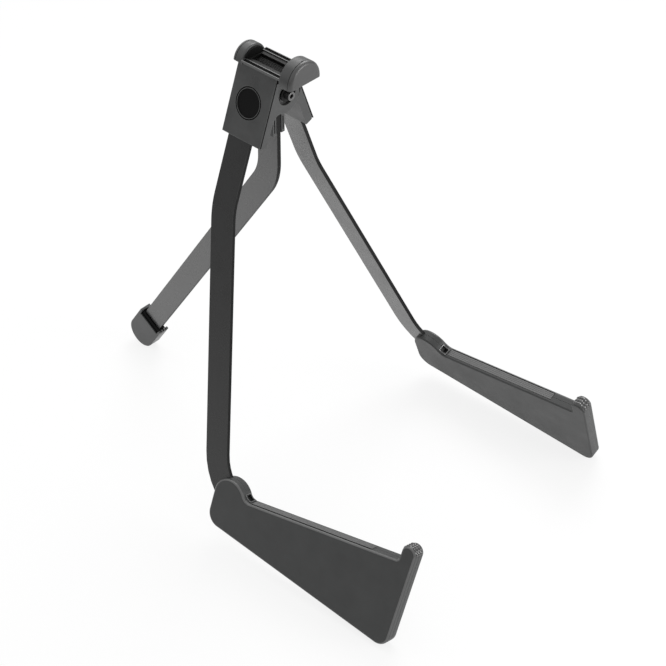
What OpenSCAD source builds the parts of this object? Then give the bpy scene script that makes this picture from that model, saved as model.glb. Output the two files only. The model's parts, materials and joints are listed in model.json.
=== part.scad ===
// Folding guitar stand. Two front legs with padded arms and one rear leg hang
// from a hinged head. Millimetres. The stand faces -Y and stands on z = 0.
// Each front leg is drawn in its own leg plane: f runs forward, h runs up, both
// from the hinge axle, and x runs outward from the middle of the head.

/* [Stance] */
// Tilt of each front leg from upright when the stand is open, in degrees
leg_tilt = 21; // [16:0.5:25]
// Distance from the hinge axle down the leg to the lower edge of the arm
leg_drop = 298; // [250:1:330]
// Clearance between faces that move past each other
gap = 0.3; // [0.2:0.05:0.5]

/* [Front leg bars] */
// Width of a front leg bar
bar_w = 19.2; // [16:0.2:22]
// Thickness of a front leg bar
bar_t = 2.9; // [2:0.1:4]
// Distance from the middle of the folded stand to the inner face of a bar
bar_in = 8.8; // [8.5:0.1:10]
// How far each bar sits behind the middle of the head
bar_set = 2.9; // [2.5:0.1:3.2]
// Distance from the hinge axle down to the upper bend of the bar
bend_drop = 86.5; // [70:0.5:110]
// Forward lean of the bar below the upper bend, in degrees
bar_lean = 15.8; // [10:0.2:20]
// Radius of the upper bend, on the middle of the bar
bend_r = 60; // [30:1:90]
// Radius of the heel bend, on the middle of the bar
heel_bend_r = 39; // [30:1:45]
// Height of the corner of the heel bend above the lower edge of the arm
heel_h = 12.4; // [9:0.2:14]
// Length of the bar inside the arm, from the corner of the heel bend
limb_len = 118; // [90:1:124]

/* [Arms] */
// Length of an arm from heel to toe
arm_len = 163; // [150:1:180]
// Plastic on each side of the bar in an arm
arm_cheek = 3.5; // [2.6:0.1:4]
// How far the heel of the arm sits behind the corner of the heel bend
arm_back = 2.2; // [0:0.1:3]
// Radius of the heel corner of the arm
heel_r = 10; // [6:0.5:12]
// Radius of the hump
hump_r = 14; // [12:0.1:15]
// Height of the top of the hump
hump_h = 39.8; // [36:0.2:42]
// Height of the seat where it meets the hump
seat_h = 31.4; // [28:0.2:32]
// Rise of the seat towards the toe, in degrees
seat_rise = 14.5; // [12:0.5:16]
// Radius where the hump runs into the seat
hump_root_r = 6; // [2:0.5:8]
// Radius of the rounded lip
lip_r = 5.4; // [3.5:0.1:6]
// Height of the lip above the seat
lip_h = 13; // [9:0.2:18]
// Radius of the toe corner of the arm
toe_r = 9; // [3:0.1:10]
// Radius of the long edges of an arm
arm_edge_r = 2; // [1:0.1:2.4]
// Wall of the arm mouldings
arm_wall = 2.1; // [1.6:0.1:2.4]
// Radius of the dowels that hold the bar in the arm
dowel_r = 2; // [1.5:0.1:2.5]
// Width of the strip let into the seat
strip_w = 5.4; // [4:0.1:6]
// Thickness of the strip
strip_t = 1.4; // [1:0.1:2]
// How far the strip stands above the seat
strip_proud = 0.3; // [0:0.05:0.6]
// Distance from the middle of the hump's root radius to the strip
strip_back = 2.4; // [2.2:0.1:4]
// Length of bare seat between the strip and the lip
strip_stop = 21; // [12:1:40]

/* [Head housings] */
// Distance from the axle down to the lower end of a housing
hub_drop = 36.6; // [35:0.2:50]
// Height of the top of a housing above the axle
hub_rise = 7.2; // [6:0.1:7.6]
// Thickness of the inner wall of a housing
hub_wall = 2.1; // [1.6:0.1:2.2]
// Thickness of the end wall that carries the outer hinge lobe
lobe_t = 4; // [3.4:0.1:4.2]
// Length of the inner hinge knuckle
knuckle_len = 3; // [2.4:0.1:3.2]
// Radius of the outer hinge lobes
lobe_r = 11.7; // [10.5:0.1:11.8]
// How far the outer lobes are set below the axle
lobe_sink = 1.6; // [1:0.1:1.8]
// Radius where a hinge lobe runs into its housing
lobe_fillet = 6; // [3:0.5:6]
// Height of the cover plate above the axle
cover_rise = 10.4; // [8:0.1:10.6]
// Thickness of the cover plate
cover_t = 1.7; // [1.5:0.1:2.4]
// Depth of the shadow groove under the rim of the cover plate
cover_groove = 1.2; // [0.6:0.1:1.6]
// How far the cover plate reaches past the ends of the housing
cover_lap = 0.2; // [0:0.1:0.6]
// How far the front end of the right housing is set back behind that of the left one
hub_step = 1.2; // [0:0.1:1.5]
// Radius of the badge disc
badge_r = 9.3; // [6:0.1:11]
// Thickness of the badge disc
badge_t = 0.9; // [0.6:0.1:1.1]
// Distance from the axle down to the middle of the badge
badge_drop = 12.2; // [10:0.2:20]
// How far the badge sits behind the middle of the head
badge_set = 0.8; // [-1:0.1:3]
// Radius of the screws that clamp the bar in the housing
bar_screw_r = 1.25; // [1:0.05:1.5]

/* [Axle and yoke] */
// Radius of the hinge axle
axle_r = 3; // [2.5:0.1:3.4]
// How far the front end of the axle stands out of the housing
axle_nose = 4; // [2:0.1:6]
// Thickness of the washers on the axle
axle_washer_t = 0.8; // [0.5:0.1:1]
// Radius of the hollow in the front end of the axle
axle_bore_r = 1.5; // [0.8:0.1:1.8]
// Radius of the recess round the front end of the axle
recess_r = 7.6; // [6:0.1:8.5]
// Depth of the recess
recess_d = 2.4; // [1.6:0.1:2.6]
// Width of the yoke across its prongs
yoke_w = 10.6; // [9:0.1:11.4]
// Distance from the axle down to the ends of the prongs
prong_drop = 33; // [29:0.5:35]
// Radius of the barrel of the yoke round the axle
barrel_r = 6.1; // [5.2:0.1:6.2]
// Distance from the axle down to the pivot of the rear leg
pivot_drop = 18; // [17.6:0.1:19]
// Radius of the pivot pin
pivot_r = 2.5; // [2:0.1:3]
// Thickness of the washers beside the rear leg
washer_t = 0.5; // [0.4:0.05:0.7]
// Thickness of the stop web behind the rear leg
stop_t = 2.2; // [1.5:0.1:2.8]

/* [Saddle] */
// Distance from the axle up to the underside of the saddle
saddle_h = 15; // [14.8:0.1:18]
// Width of the saddle between its end plates
saddle_w = 23; // [20:0.5:25]
// Height of the side rails of the saddle
rail_h = 2.7; // [2:0.1:4]
// Width of the groove between the rails
groove_w = 15.2; // [13:0.2:17]
// Front end of the saddle, from the middle of the head
saddle_front = 22.4; // [20:0.2:26]
// Rear end of the saddle, from the middle of the head
saddle_back = 12.1; // [10:0.2:16]
// Radius of the front D-shaped end plate
plate_r = 14; // [11:0.1:15]
// Height of the front end plate
plate_h = 15; // [14:0.1:18]
// How far the front end plate reaches below the underside of the saddle
plate_drop = 1; // [0:0.1:2]
// Radius of the rear D-shaped end plate
rear_plate_r = 11.2; // [10:0.1:15]
// Height of the rear end plate
rear_plate_h = 9.2; // [8:0.1:12]
// Thickness of the front end plate
front_plate_t = 7.9; // [6:0.1:12]
// Thickness of the rear end plate
rear_plate_t = 5.8; // [5:0.1:10]
// Thickness of the bumper faces
bumper_t = 2.8; // [2.6:0.1:4]
// Edge radius of the end plates
plate_edge_r = 1.2; // [0.6:0.1:1.5]
// Edge radius of the bumper faces
bumper_edge_r = 2.4; // [0.8:0.1:2.6]

/* [Rear leg] */
// Width of the rear leg bar
rear_w = 18; // [15:0.2:18.2]
// Thickness of the rear leg bar
rear_t = 3.4; // [2.4:0.1:4]
// Distance from the axle down to the bend of the rear leg
rear_bend_drop = 68; // [60:1:90]
// Backward lean of the rear leg below its bend, in degrees
rear_lean = 33.2; // [28:0.2:38]
// Radius of the bend of the rear leg
rear_bend_r = 40; // [25:1:60]
// Distance from the bend to the mouth of the boot
rear_run = 248; // [200:1:270]

/* [Boot] */
// Width of the boot across the bar
boot_w = 25.4; // [24:0.2:30]
// Thickness of the boot
boot_t = 9.6; // [9:0.2:10]
// Length of the boot below its mouth
boot_len = 30.5; // [22:0.5:36]
// Wall of the boot
boot_wall = 2.2; // [1.4:0.1:2.6]
// Thickness of the side plates of the boot
boot_side = 1.4; // [1:0.1:1.8]
// How far the wall rises past the side plates
boot_ear = 5; // [0:0.2:7]
// How far the bar reaches into the boot
boot_grip = 18; // [12:0.5:22]
// Radius of the pin through the boot
boot_pin_r = 1.5; // [1:0.1:2]

/* [Hidden] */
$fn = 64;

// Colours
plastic_c = [0.27, 0.28, 0.28];
cover_c = [0.23, 0.24, 0.24];
powder_c = [0.10, 0.10, 0.10];
rubber_c = [0.12, 0.12, 0.12];
steel_c = [0.62, 0.62, 0.60];
badge_c = [0.05, 0.05, 0.05];

// Clearances within one body
fit = 0.1;
seat_fit = 0.2;
shaft_fit = 0.05;
eps = 0.01;
arc_steps = 10;
edge_steps = 3;

// Points along an arc
function arc(c, r, a0, a1, n = arc_steps) =
    [for (i = [0:n]) let (a = a0 + (a1 - a0) * i / n) c + r * [cos(a), sin(a)]];

function unit(v) = v / norm(v);
function left_of(v) = [-v[1], v[0]];
function reversed(p) = [for (i = [len(p) - 1:-1:0]) p[i]];

// A polyline whose inner corners are rounded to the radii in r
function rounded_path(p, r) = concat([p[0]],
    [for (i = [1:len(p) - 2])
        let (a = unit(p[i] - p[i - 1]),
             b = unit(p[i + 1] - p[i]),
             turn = atan2(a[0] * b[1] - a[1] * b[0], a * b),
             side = sign(turn),
             start = p[i] - a * r[i - 1] * tan(abs(turn) / 2),
             c = start + side * r[i - 1] * left_of(a),
             a0 = atan2((start - c)[1], (start - c)[0]))
        each arc(c, r[i - 1], a0, a0 + turn)],
    [p[len(p) - 1]]);

// The outline of a strip of width w along a path
function strip_outline(p, w) =
    let (n = len(p),
         side = [for (i = [0:n - 1])
             let (a = unit(p[max(i, 1)] - p[max(i, 1) - 1]),
                  b = unit(p[min(i, n - 2) + 1] - p[min(i, n - 2)]),
                  m = unit(a + b))
             left_of(m) / (m * b)])
    concat([for (i = [0:n - 1]) p[i] + side[i] * w / 2],
           reversed([for (i = [0:n - 1]) p[i] - side[i] * w / 2]));

// An outline without repeated points
function distinct(p) =
    [for (i = [0:len(p) - 1]) if (norm(p[i] - p[(i + len(p) - 1) % len(p)]) > eps) p[i]];

// An outline moved inward by d, for a counterclockwise outline
function inset(p, d) =
    let (n = len(p))
    [for (i = [0:n - 1])
        let (a = unit(p[i] - p[(i + n - 1) % n]),
             b = unit(p[(i + 1) % n] - p[i]),
             m = unit(a + b))
        p[i] + left_of(m) * d / (m * b)];

// Front leg bar in its leg plane, as [forward, up] from the axle
bar_mid = -bar_set;
heel = [bar_mid + (leg_drop - heel_h - bend_drop) * tan(bar_lean), heel_h - leg_drop];
seat_dir = [cos(seat_rise), sin(seat_rise)];
bar_top = hub_rise - hub_wall - 1.5;
bar_path = rounded_path([[bar_mid, bar_top], [bar_mid, -bend_drop], heel,
                         heel + limb_len * seat_dir], [bend_r, heel_bend_r]);
bar_out = bar_in + bar_t;

// Arm, from the lower rear corner of its outline
arm_at = [heel[0] - arm_back, -leg_drop];
arm_in = bar_in - arm_cheek;
arm_out = bar_out + arm_cheek;
arm_split = bar_in + bar_t / 2;
hump_c = [hump_r, hump_h - hump_r];
seat_a = 2 * hump_r + 1.2;
seat_up = left_of(seat_dir);
function seat_at(a) = seat_h + (a - seat_a) * tan(seat_rise);
lip_foot = arm_len - 2 * lip_r;
lip_top = seat_at(lip_foot) + lip_h;
root_r = 2.5;
// Centre of the radius between seat and lip
root_c = [lip_foot - root_r, seat_at(lip_foot - root_r) + root_r / cos(seat_rise)];
// Centre of the radius between hump and seat
foot_base = [seat_a, seat_h] + hump_root_r * seat_up;
foot_off = (hump_c - foot_base) * seat_up;
foot_run = (hump_c - foot_base) * seat_dir + sqrt(pow(hump_r + hump_root_r, 2) - foot_off * foot_off);
foot_c = foot_base + foot_run * seat_dir;
foot_a = atan2((hump_c - foot_c)[1], (hump_c - foot_c)[0]);
arm_outline = distinct(concat(
    arc([arm_len - toe_r, toe_r], toe_r, -90, 0),
    arc([arm_len - lip_r, lip_top - lip_r], lip_r, 0, 180),
    arc(root_c, root_r, 0, seat_rise - 90, 6),
    arc(foot_c, hump_root_r, seat_rise - 90, foot_a > 0 ? foot_a - 360 : foot_a, 6),
    arc(hump_c, hump_r, foot_a > 0 ? foot_a - 180 : foot_a + 180, 180),
    arc([heel_r, heel_r], heel_r, 180, 270)));

// Layers of an arm as [x, inset], from its inner face to its outer one
edge_turns = [for (i = [0:edge_steps]) 90 * i / edge_steps];
arm_layers = concat(
    [for (a = edge_turns) [arm_in + arm_edge_r * (1 - cos(a)), arm_edge_r * (1 - sin(a))]],
    [for (a = edge_turns) [arm_out - arm_edge_r * (1 - sin(a)), arm_edge_r * (1 - cos(a))]]);
arm_points = [for (layer = arm_layers, q = inset(arm_outline, layer[1]))
    [layer[0], arm_at[0] + q[0], arm_at[1] + q[1]]];

// Rear leg in the middle plane, as [back, up] from the axle
rear_dir = [sin(rear_lean), -cos(rear_lean)];
rear_bend = [0, -rear_bend_drop];
rear_mouth = rear_bend + rear_run * rear_dir;
boot_r = boot_w / 2;
boot_c = rear_mouth + (boot_len - boot_r) * rear_dir;
rear_path = rounded_path([[0, -pivot_drop], rear_bend,
                          rear_mouth + boot_grip * rear_dir], [rear_bend_r]);

// The open stand leans until arms and boot share one floor
function on_floor(y, z, lean) = y * sin(lean) + z * cos(lean);
function arm_low(lean) =
    min([for (p = arm_points)
        on_floor(-p[1], p[2] * cos(leg_tilt) + p[0] * sin(leg_tilt), lean)]);
function boot_low(lean) = on_floor(boot_c[0], boot_c[1], lean) - boot_r;
stance_len = boot_c[0] + arm_at[0] + arm_len;
function settle(lean, n) = n == 0 ? lean
    : settle(lean + atan((arm_low(lean) - boot_low(lean)) / stance_len), n - 1);
lean = settle(0, 5);
floor_z = min(arm_low(lean), boot_low(lean));
function along_floor(y, z) = y * cos(lean) - z * sin(lean);
front_y = min([for (p = arm_points)
    along_floor(-p[1], p[2] * cos(leg_tilt) + p[0] * sin(leg_tilt))]);
back_y = along_floor(boot_c[0], boot_c[1]) + boot_r;
mid_y = (front_y + back_y) / 2;

// Head sizes that follow from the ones above
hub_in = bar_in - seat_fit - hub_wall;
hub_out = bar_out + gap;
cover_in = hub_out + fit;
cover_out = cover_in + cover_t;
half_len = bar_set + bar_w / 2 + gap + lobe_t;
cover_chamfer = 0.4;
lobe_face = half_len - lobe_t - gap;
yoke_half = lobe_face - knuckle_len - gap;
lobe_sweep = lobe_r + lobe_sink + gap;
knuckle_r = hub_in - gap;
neck_half = hub_in * cos(leg_tilt) - hub_rise * sin(leg_tilt) - gap;
fillet_c = [hub_in - lobe_fillet,
            -lobe_sink - sqrt(pow(lobe_r + lobe_fillet, 2) - pow(hub_in - lobe_fillet, 2))];
recess_floor = half_len - recess_d;
front_washer_y = -recess_floor - gap - axle_washer_t;
rear_washer_y = half_len + gap;
slot_half = rear_t / 2 + washer_t + 2 * fit;
yoke_side = yoke_w / 2;
axle_head_r = axle_r + 1.6;
axle_head_t = 0.8;
axle_bore_d = 5;
washer_rim = 2.6;
cap_r = axle_r + 2.2;
pin_head_r = pivot_r + 1.3;
pin_head_t = 0.9;
bush_r = pivot_r + 1.1;
slot_top = rear_w / 2 + gap - pivot_drop;
slot_cut_w = 1;
slot_cut_h = 10;
slot_cut_d = 4;

// Saddle sizes that follow from the ones above
saddle_top = saddle_h + rail_h;
front_top = saddle_h - plate_drop + plate_h;
rear_top = saddle_h + rear_plate_h;
keel_half = groove_w / 2 - 0.6;
keel_z = saddle_h - 3.5;
keel_wall = 1.4;
floor_z0 = keel_z + 1.5;
shelf_z = saddle_h + 1.2;
end_wall = 1.5;
pad_half = keel_half - keel_wall - fit;
pad_t = 1.3;
pad_end_t = 1;
pad_rim = 1.6;
pad_rib_w = 1;
pad_rib_h = 0.8;
pad_rib_x = [-1, 1] * 3.2;
pad_wall = 1;
pad_wing_t = 0.8;
saddle_screw_r = 1.2;
saddle_screw_y = [-5.5, 5.5];
saddle_screw_len = 7;
saddle_head_r = saddle_screw_r + 1.2;
saddle_head_t = 1;
plate_front = -saddle_front - front_plate_t;
plate_rear = saddle_back + rear_plate_t;
plug_half = 5;
plug_z0 = saddle_h + 2;
plug_z1 = front_top - 5;
rear_plug_z1 = rear_top - 3;
plug_len = 3.8;

// Housing screws and badge
screw_z = [-19, -31];
boss_r = bar_screw_r + 1.15;
boss_hole_r = boss_r + seat_fit;
screw_head_r = bar_screw_r + 0.9;
bar_screw_head_t = 0.9;
boss_end = bar_in + fit;
badge_sink = 1;

// Arm details
channel_w = bar_w + 2 * seat_fit;
// Lower edge of the bar's seat in the arm, and the front end of the bar
function limb_low(a) = heel_h + (a - arm_back) * tan(seat_rise)
    - (channel_w / 2 + arm_wall) / cos(seat_rise);
limb_end = arm_back + limb_len * cos(seat_rise) + channel_w / 2 * sin(seat_rise);
cell_a = 22;
dowel_at = [45, 98];
dowel_x0 = arm_in + 1.4;
dowel_x1 = arm_out - 1.4;
rib_t = 1.6;
rib_pitch = 26;
strip_a0 = foot_c[0] + strip_back;
strip_a1 = lip_foot - strip_stop;
strip_sink = strip_t - strip_proud;

// Boot details
boot_half = boot_t / 2;
core_half = boot_half - boot_side - fit;
core_edge = boot_r - boot_wall - fit;
core_rise = boot_ear - 1;
boot_pin_at = 9;

// Places the axle frame of the open stand on the floor
module stance() {
    translate([0, -mid_y, -floor_z]) rotate([lean, 0, 0]) children();
}

// Places a front leg, drawn for the right side with x outward
module front_leg(side) {
    stance() mirror([side < 0 ? 1 : 0, 0, 0]) rotate([0, -leg_tilt, 0]) children();
}

// Extrudes a leg plane drawing of [forward, up] from x0 to x1
module leg_slab(x0, x1) {
    translate([x1, 0, 0]) rotate([90, 0, -90]) linear_extrude(x1 - x0) children();
}

// Extrudes a middle plane drawing of [back, up] from x0 to x1
module mid_slab(x0, x1) {
    translate([x0, 0, 0]) rotate([90, 0, 90]) linear_extrude(x1 - x0) children();
}

// Extrudes a drawing of [x, up] from y0 to y1
module cross_slab(y0, y1) {
    translate([0, y1, 0]) rotate([90, 0, 0]) linear_extrude(y1 - y0) children();
}

// A cylinder along Y from y0 to y1 at height z
module y_rod(r, y0, y1, z = 0) {
    translate([0, y1, z]) rotate([90, 0, 0]) cylinder(r = r, h = y1 - y0);
}

// A cylinder along X from x0 to x1
module x_rod(r, x0, x1, y, z) {
    translate([x0, y, z]) rotate([0, 90, 0]) cylinder(r = r, h = x1 - x0);
}

// A box from corner a to corner b
module block(a, b) {
    translate(a) cube(b - a);
}

// A ring along Y that slips over the axle
module axle_ring(r, y0, y1) {
    difference() {
        y_rod(r, y0, y1);
        y_rod(axle_r + shaft_fit, y0 - 1, y1 + 1);
    }
}

// Round plate along Y of radius r, cut flat at z0 to make a D of height h, with its rim
// rounded to e at either end
module d_plate(r, h, z0, y0, y1, e, round0, round1) {
    profile = concat(
        [[0, y0]],
        round0 ? arc([r - e, y0 + e], e, -90, 0, 5) : [[r, y0]],
        round1 ? arc([r - e, y1 - e], e, 0, 90, 5) : [[r, y1]],
        [[0, y1]]);
    intersection() {
        translate([0, 0, z0 + h - r]) rotate([-90, 0, 0]) rotate_extrude($fn = 96) polygon(profile);
        block([-2 * r, y0 - 1, z0], [2 * r, y1 + 1, z0 + h + 1]);
    }
}

module front_d(y0, y1, e, round0, round1)
    d_plate(plate_r, plate_h, saddle_h - plate_drop, y0, y1, e, round0, round1);

module rear_d(y0, y1, e, round0, round1)
    d_plate(rear_plate_r, rear_plate_h, saddle_h, y0, y1, e, round0, round1);

// End piece of the pad on a D plate of radius r that reaches up to z1, c smaller all round
module pad_end(r, z1, y0, y1, c) intersection() {
    y_rod(r - pad_rim - c, y0, y1, z1 - r);
    block([c - groove_w / 2, y0, shelf_z + c], [groove_w / 2 - c, y1, z1]);
}

module saddle_body() color(plastic_c) stance() difference() {
    union() {
        block([-saddle_w / 2, -saddle_front - eps, saddle_h],
              [saddle_w / 2, saddle_back + eps, saddle_top]);
        block([-keel_half, -saddle_front, keel_z], [keel_half, saddle_back, saddle_h + eps]);
        front_d(plate_front, -saddle_front, plate_edge_r, false, true);
        rear_d(saddle_back, plate_rear, plate_edge_r, true, false);
    }
    // Shallow seats for the ends of the pad
    pad_end(plate_r, front_top, -saddle_front - pad_end_t, 1 - saddle_front, 0);
    pad_end(rear_plate_r, rear_top, saddle_back - 1, saddle_back + pad_end_t, 0);
    // Groove between the rails, and the deeper channel for the pad
    block([-groove_w / 2, -saddle_front, shelf_z], [groove_w / 2, saddle_back, saddle_top + 1]);
    block([-keel_half + keel_wall, -saddle_front + end_wall, floor_z0],
          [keel_half - keel_wall, saddle_back - end_wall, saddle_top]);
    // Sockets for the plugs of the bumpers
    block([-plug_half, plate_front - 1, plug_z0], [plug_half, plate_front + plug_len + fit, plug_z1]);
    block([-plug_half, plate_rear - plug_len - fit, plug_z0], [plug_half, plate_rear + 1, rear_plug_z1]);
    for (y = saddle_screw_y)
        translate([0, y, keel_z - 1]) cylinder(r = saddle_screw_r + shaft_fit, h = 4);
}

// Plug of a bumper, from y0 to y1 and up to z1
module bumper_plug(y0, y1, z1) {
    block([-plug_half + fit, y0, plug_z0 + fit], [plug_half - fit, y1, z1 - fit]);
}

module front_bumper() color(rubber_c) stance() union() {
    front_d(plate_front - bumper_t, plate_front, bumper_edge_r, true, false);
    bumper_plug(plate_front - eps, plate_front + plug_len, plug_z1);
}

module rear_bumper() color(rubber_c) stance() union() {
    rear_d(plate_rear, plate_rear + bumper_t, bumper_edge_r, false, true);
    bumper_plug(plate_rear - plug_len, plate_rear + eps, rear_plug_z1);
}

module saddle_pad() color(rubber_c) stance() difference() {
    y0 = fit - saddle_front;
    y1 = saddle_back - fit;
    wing = groove_w / 2 - fit;
    union() {
        block([-wing, y0, shelf_z], [wing, y1, shelf_z + pad_wing_t]);
        block([-pad_half, y0 + end_wall, floor_z0], [pad_half, y1 - end_wall, shelf_z + eps]);
        pad_end(plate_r, front_top, y0 - pad_end_t, y0 + pad_wing_t, fit);
        pad_end(rear_plate_r, rear_top, y1 - pad_wing_t, y1 + pad_end_t, fit);
    }
    // Channel along the middle, with ribs left standing on its floor
    difference() {
        block([pad_wall - pad_half, y0 + end_wall + pad_wall, floor_z0 + pad_t],
              [pad_half - pad_wall, y1 - end_wall - pad_wall, saddle_top]);
        for (x = pad_rib_x)
            block([x - pad_rib_w / 2, y0, floor_z0], [x + pad_rib_w / 2, y1, floor_z0 + pad_t + pad_rib_h]);
    }
    for (y = saddle_screw_y)
        translate([0, y, floor_z0 - 1]) cylinder(r = saddle_head_r + seat_fit, h = pad_t + 3);
}

module saddle_screws() color(steel_c) stance() for (y = saddle_screw_y) translate([0, y, 0]) {
    translate([0, 0, floor_z0 - saddle_screw_len]) cylinder(r = saddle_screw_r, h = saddle_screw_len);
    translate([0, 0, floor_z0]) cylinder(r = saddle_head_r, h = saddle_head_t);
}

module yoke() color(plastic_c) stance() difference() {
    union() {
        y_rod(barrel_r, -yoke_half, yoke_half);
        block([-yoke_side, -yoke_half, -prong_drop], [yoke_side, yoke_half, 0]);
        block([-neck_half, -yoke_half, 0], [neck_half, yoke_half, keel_z]);
        // Web that stops the rear leg when it is open
        block([-yoke_side, yoke_half - eps, -prong_drop],
              [yoke_side, rear_w / 2 + gap + stop_t, 8 - prong_drop]);
    }
    y_rod(axle_r + shaft_fit, -yoke_half - 1, yoke_half + 1);
    // Slot for the rear leg
    block([-slot_half, -yoke_half - 1, -prong_drop - 1], [slot_half, rear_w / 2 + gap, slot_top]);
    x_rod(pivot_r + shaft_fit, -yoke_w, yoke_w, 0, -pivot_drop);
    // Seats for the heads of the pivot pin
    for (s = [0, 1]) mirror([s, 0, 0])
        x_rod(pin_head_r + fit, yoke_side - pin_head_t, yoke_side + 1, 0, -pivot_drop);
    // Narrow slots that core the prongs from the front
    for (s = [0, 1]) mirror([s, 0, 0])
        block([(slot_half + yoke_side - slot_cut_w) / 2, -yoke_half - 1, 2 - prong_drop],
              [(slot_half + yoke_side + slot_cut_w) / 2, slot_cut_d - yoke_half,
               2 - prong_drop + slot_cut_h]);
    for (y = saddle_screw_y)
        translate([0, y, floor_z0 - saddle_screw_len - 0.5])
            cylinder(r = saddle_screw_r + shaft_fit, h = saddle_screw_len + 1);
}

module hinge_axle() color(steel_c) stance() difference() {
    union() {
        y_rod(axle_r, -half_len - axle_nose, rear_washer_y + axle_washer_t + eps);
        y_rod(axle_head_r, rear_washer_y + axle_washer_t, rear_washer_y + axle_washer_t + axle_head_t);
    }
    y_rod(axle_bore_r, -half_len - axle_nose - 1, -half_len - axle_nose + axle_bore_d);
}

module axle_washers() color(steel_c) stance() {
    axle_ring(axle_r + washer_rim, front_washer_y, front_washer_y + axle_washer_t);
    axle_ring(axle_r + washer_rim, rear_washer_y, rear_washer_y + axle_washer_t);
}

module axle_cap() color(powder_c) stance() axle_ring(cap_r, -half_len + fit, front_washer_y);

module leg_pivot() color(steel_c) stance() union() {
    x_rod(pivot_r, -yoke_side, yoke_side, 0, -pivot_drop);
    for (s = [0, 1]) mirror([s, 0, 0])
        x_rod(pin_head_r, yoke_side - pin_head_t, yoke_side, 0, -pivot_drop);
}

module pivot_washers() color(steel_c) stance() for (s = [0, 1]) mirror([s, 0, 0]) difference() {
    x_rod(pivot_r + washer_rim, rear_t / 2 + fit, rear_t / 2 + fit + washer_t, 0, -pivot_drop);
    x_rod(pivot_r + shaft_fit, 0, yoke_w, 0, -pivot_drop);
}

// Outer hinge lobe with the fillet that joins it to the end wall of its housing
module outer_lobe() {
    y_rod(lobe_r, -half_len, lobe_t - half_len, -lobe_sink);
    to_lobe = atan2(-lobe_sink - fillet_c[1], -fillet_c[0]);
    cross_slab(-half_len, lobe_t - half_len) polygon(concat(
        [[hub_out, -lobe_sink], [0, -lobe_sink]],
        arc(fillet_c, lobe_fillet, to_lobe, 0),
        [[hub_out, fillet_c[1]]]));
}

// Inner hinge knuckle, which clears the wall of the other housing
module knuckle() {
    y_rod(knuckle_r, yoke_half + gap, lobe_face);
    block([0, yoke_half + gap, -knuckle_r], [hub_in + hub_wall, lobe_face, knuckle_r]);
}

// Front end of a housing, the right one set back
function hub_front(side) = side > 0 ? hub_step - half_len : -half_len;

// Housing of one front leg; its outer lobe is at the front on the left side
module hub(side) color(plastic_c) front_leg(side) {
    flip = side < 0 ? 0 : 1;
    y0 = hub_front(side);
    bar_front = bar_set - bar_w / 2 - seat_fit;
    difference() {
        union() {
            block([hub_in, y0, -hub_drop], [hub_in + hub_wall, half_len, hub_rise]);
            block([hub_in, y0, hub_rise - hub_wall], [hub_out, half_len, hub_rise]);
            block([hub_in, y0, -hub_drop], [hub_out, lobe_t - half_len, hub_rise]);
            block([hub_in, half_len - lobe_t, -hub_drop], [hub_out, half_len, hub_rise]);
            block([hub_in, y0, -hub_drop], [hub_out, bar_front, hub_wall - hub_drop]);
            mirror([0, flip, 0]) outer_lobe();
        }
        // Room for the outer lobe of the other housing
        mirror([0, flip, 0]) y_rod(lobe_sweep, lobe_face, half_len + 1);
        mirror([0, flip, 0]) y_rod(axle_r + shaft_fit, -half_len - 1, 0);
        mirror([0, flip, 0]) y_rod(recess_r, -half_len - 1, -recess_floor);
        for (z = screw_z) {
            x_rod(bar_screw_r + shaft_fit, hub_in - 1, hub_out, bar_set, z);
            x_rod(screw_head_r + fit, hub_in - 1, hub_in + bar_screw_head_t, bar_set, z);
        }
    }
    difference() {
        mirror([0, flip, 0]) knuckle();
        y_rod(axle_r + shaft_fit, -half_len, half_len);
    }
}

// Cover plate with chamfers round its outer face
module cover(side) color(cover_c) front_leg(side) difference() {
    c = cover_chamfer;
    y0 = hub_front(side) - cover_lap;
    y1 = half_len + cover_lap;
    rim_in = cover_in + cover_t / 2;
    union() {
        intersection() {
            translate([0, 0, -hub_drop]) linear_extrude(hub_drop + cover_rise)
                polygon([[rim_in, y0], [cover_out - c, y0], [cover_out, y0 + c],
                         [cover_out, y1 - c], [cover_out - c, y1], [rim_in, y1]]);
            cross_slab(y0, y1)
                polygon([[rim_in, -hub_drop], [cover_out - c, -hub_drop],
                         [cover_out, c - hub_drop], [cover_out, cover_rise - c],
                         [cover_out - c, cover_rise], [rim_in, cover_rise]]);
        }
        block([cover_in, y0 + cover_groove, cover_groove - hub_drop],
              [rim_in + eps, y1 - cover_groove, cover_rise - cover_groove]);
        for (z = screw_z) x_rod(boss_r, boss_end, cover_in + eps, bar_set, z);
    }
    x_rod(badge_r + fit, cover_out - badge_sink, cover_out + 1, badge_set, -badge_drop);
    for (z = screw_z) x_rod(bar_screw_r + shaft_fit, boss_end - 1, cover_in + 0.6, bar_set, z);
}

module badge(side) color(badge_c) front_leg(side)
    x_rod(badge_r, cover_out - badge_sink, cover_out - badge_sink + badge_t, badge_set, -badge_drop);

module leg_bar(side) color(powder_c) front_leg(side) difference() {
    leg_slab(bar_in, bar_out) polygon(strip_outline(bar_path, bar_w));
    for (z = screw_z) x_rod(boss_hole_r, bar_in - 1, bar_out + 1, bar_set, z);
    dowels(dowel_r + shaft_fit, bar_in - 1, bar_out + 1);
}

module bar_screws(side) color(steel_c) front_leg(side) for (z = screw_z) {
    x_rod(bar_screw_r, hub_in, cover_in + 0.5, bar_set, z);
    x_rod(screw_head_r, hub_in, hub_in + bar_screw_head_t, bar_set, z);
}

// Dowels across the bar inside the arm
module dowels(r, x0, x1) {
    for (d = dowel_at) let (p = heel + d * seat_dir) x_rod(r, x0, x1, -p[0], p[1]);
}

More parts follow.
